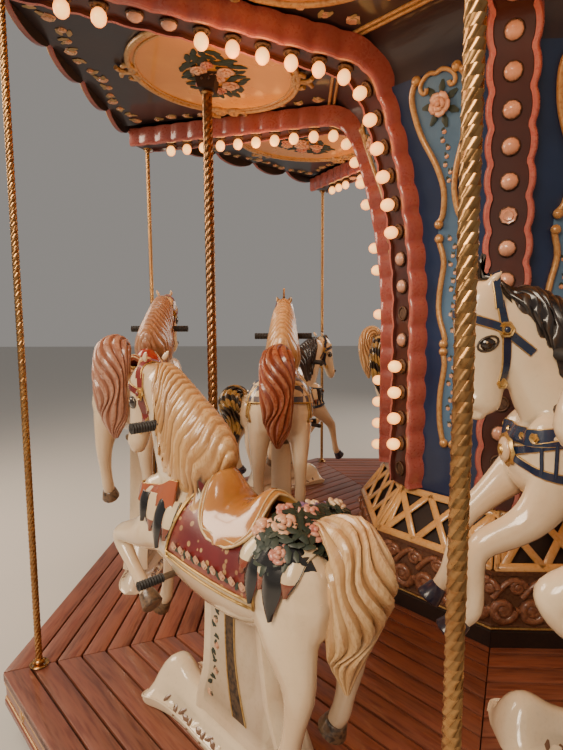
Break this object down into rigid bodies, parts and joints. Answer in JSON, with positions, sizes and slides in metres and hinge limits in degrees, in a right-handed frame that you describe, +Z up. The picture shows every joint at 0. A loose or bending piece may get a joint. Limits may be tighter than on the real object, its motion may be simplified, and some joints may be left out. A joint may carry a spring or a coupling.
{
  "type": "fairground carousel",
  "caption": "Octagonal fairground carousel: a turning deck with rising horses on pedestals, a lamp-lit centre drum, twisted poles, painted ceiling and pointed roof.",
  "frame": {"origin": "ground level on the turning axis", "axes": "+Z up along the turning axis; +X outwards through the middle of bay 1, whose horses ride in two ranks; bays are numbered anticlockwise from above, and the ride turns clockwise"},
  "size_m": [5.1368, 5.1368, 5.015],
  "materials": {
    "steel": "dark painted steel",
    "painted_board": "deep red gloss with gold moulding",
    "roof_skin": "cream and red gloss paint on boarded panels",
    "deck_wood": "reddish-brown oiled hardwood boards",
    "drum_panel": "painted blue panels, red lamp pilasters, gold mouldings",
    "ceiling_panel": "painted panels with red lamp ribs and gold mouldings",
    "pole_brass": "twisted brass tube, slightly tarnished",
    "horse_shell": "cream glossy enamel with painted tack"
  },
  "bodies": {
    "base": {"ground_frame": "steel", "centre_mast": "steel"},
    "turntable": {"turntable_frame": "steel", "rounding_boards": "painted_board", "roof": "roof_skin", "deck_sector_1": "deck_wood", "deck_sector_2": "deck_wood", "deck_sector_3": "deck_wood", "deck_sector_4": "deck_wood", "deck_sector_5": "deck_wood", "deck_sector_6": "deck_wood", "deck_sector_7": "deck_wood", "deck_sector_8": "deck_wood", "drum_side_1": "drum_panel", "drum_side_2": "drum_panel", "drum_side_3": "drum_panel", "drum_side_4": "drum_panel", "drum_side_5": "drum_panel", "drum_side_6": "drum_panel", "drum_side_7": "drum_panel", "drum_side_8": "drum_panel", "ceiling_bay_1": "ceiling_panel", "ceiling_bay_2": "ceiling_panel", "ceiling_bay_3": "ceiling_panel", "ceiling_bay_4": "ceiling_panel", "ceiling_bay_5": "ceiling_panel", "ceiling_bay_6": "ceiling_panel", "ceiling_bay_7": "ceiling_panel", "ceiling_bay_8": "ceiling_panel", "outer_pole_1": "pole_brass", "outer_pole_2": "pole_brass", "outer_pole_3": "pole_brass", "outer_pole_4": "pole_brass", "outer_pole_5": "pole_brass", "outer_pole_6": "pole_brass", "outer_pole_7": "pole_brass", "outer_pole_8": "pole_brass", "hand_pole_1": "pole_brass", "hand_pole_3": "pole_brass", "hand_pole_5": "pole_brass", "hand_pole_7": "pole_brass"},
    "horse_outer_1": {"horse_outer_1": "horse_shell"},
    "horse_outer_2": {"horse_outer_2": "horse_shell"},
    "horse_outer_3": {"horse_outer_3": "horse_shell"},
    "horse_outer_4": {"horse_outer_4": "horse_shell"},
    "horse_outer_5": {"horse_outer_5": "horse_shell"},
    "horse_outer_6": {"horse_outer_6": "horse_shell"},
    "horse_outer_7": {"horse_outer_7": "horse_shell"},
    "horse_outer_8": {"horse_outer_8": "horse_shell"},
    "horse_inner_1": {"horse_inner_1": "horse_shell"},
    "horse_inner_3": {"horse_inner_3": "horse_shell"},
    "horse_inner_5": {"horse_inner_5": "horse_shell"},
    "horse_inner_7": {"horse_inner_7": "horse_shell"}
  },
  "joints": [
    {"name": "turntable_spin", "type": "hinge", "parent": "base", "child": "turntable", "pos_m": [0, 0, 0], "axis": [0, 0, 1], "continuous": true},
    {"name": "horse_outer_2_lift", "type": "slide", "parent": "turntable", "child": "horse_outer_2", "axis": [0, 0, 1], "range_m": [0, 0.32]},
    {"name": "horse_outer_4_lift", "type": "slide", "parent": "turntable", "child": "horse_outer_4", "axis": [0, 0, 1], "range_m": [0, 0.32]},
    {"name": "horse_outer_6_lift", "type": "slide", "parent": "turntable", "child": "horse_outer_6", "axis": [0, 0, 1], "range_m": [0, 0.32]},
    {"name": "horse_outer_8_lift", "type": "slide", "parent": "turntable", "child": "horse_outer_8", "axis": [0, 0, 1], "range_m": [0, 0.32]},
    {"name": "horse_outer_1_lift", "type": "slide", "parent": "turntable", "child": "horse_outer_1", "axis": [0, 0, 1], "range_m": [-0.32, 0]},
    {"name": "horse_outer_3_lift", "type": "slide", "parent": "turntable", "child": "horse_outer_3", "axis": [0, 0, 1], "range_m": [-0.32, 0]},
    {"name": "horse_outer_5_lift", "type": "slide", "parent": "turntable", "child": "horse_outer_5", "axis": [0, 0, 1], "range_m": [-0.32, 0]},
    {"name": "horse_outer_7_lift", "type": "slide", "parent": "turntable", "child": "horse_outer_7", "axis": [0, 0, 1], "range_m": [-0.32, 0]},
    {"name": "horse_inner_1_lift", "type": "slide", "parent": "turntable", "child": "horse_inner_1", "axis": [0, 0, 1], "range_m": [-0.27, 0]},
    {"name": "horse_inner_3_lift", "type": "slide", "parent": "turntable", "child": "horse_inner_3", "axis": [0, 0, 1], "range_m": [-0.27, 0]},
    {"name": "horse_inner_5_lift", "type": "slide", "parent": "turntable", "child": "horse_inner_5", "axis": [0, 0, 1], "range_m": [-0.27, 0]},
    {"name": "horse_inner_7_lift", "type": "slide", "parent": "turntable", "child": "horse_inner_7", "axis": [0, 0, 1], "range_m": [-0.27, 0]}
  ],
  "couplings": [
    {"joint": "horse_outer_4_lift", "follows": "horse_outer_2_lift", "ratio": 1},
    {"joint": "horse_outer_6_lift", "follows": "horse_outer_2_lift", "ratio": 1},
    {"joint": "horse_outer_8_lift", "follows": "horse_outer_2_lift", "ratio": 1},
    {"joint": "horse_outer_1_lift", "follows": "horse_outer_2_lift", "ratio": -1},
    {"joint": "horse_outer_3_lift", "follows": "horse_outer_2_lift", "ratio": -1},
    {"joint": "horse_outer_5_lift", "follows": "horse_outer_2_lift", "ratio": -1},
    {"joint": "horse_outer_7_lift", "follows": "horse_outer_2_lift", "ratio": -1},
    {"joint": "horse_inner_1_lift", "follows": "horse_outer_2_lift", "ratio": -0.84375},
    {"joint": "horse_inner_3_lift", "follows": "horse_outer_2_lift", "ratio": -0.84375},
    {"joint": "horse_inner_5_lift", "follows": "horse_outer_2_lift", "ratio": -0.84375},
    {"joint": "horse_inner_7_lift", "follows": "horse_outer_2_lift", "ratio": -0.84375}
  ]
}
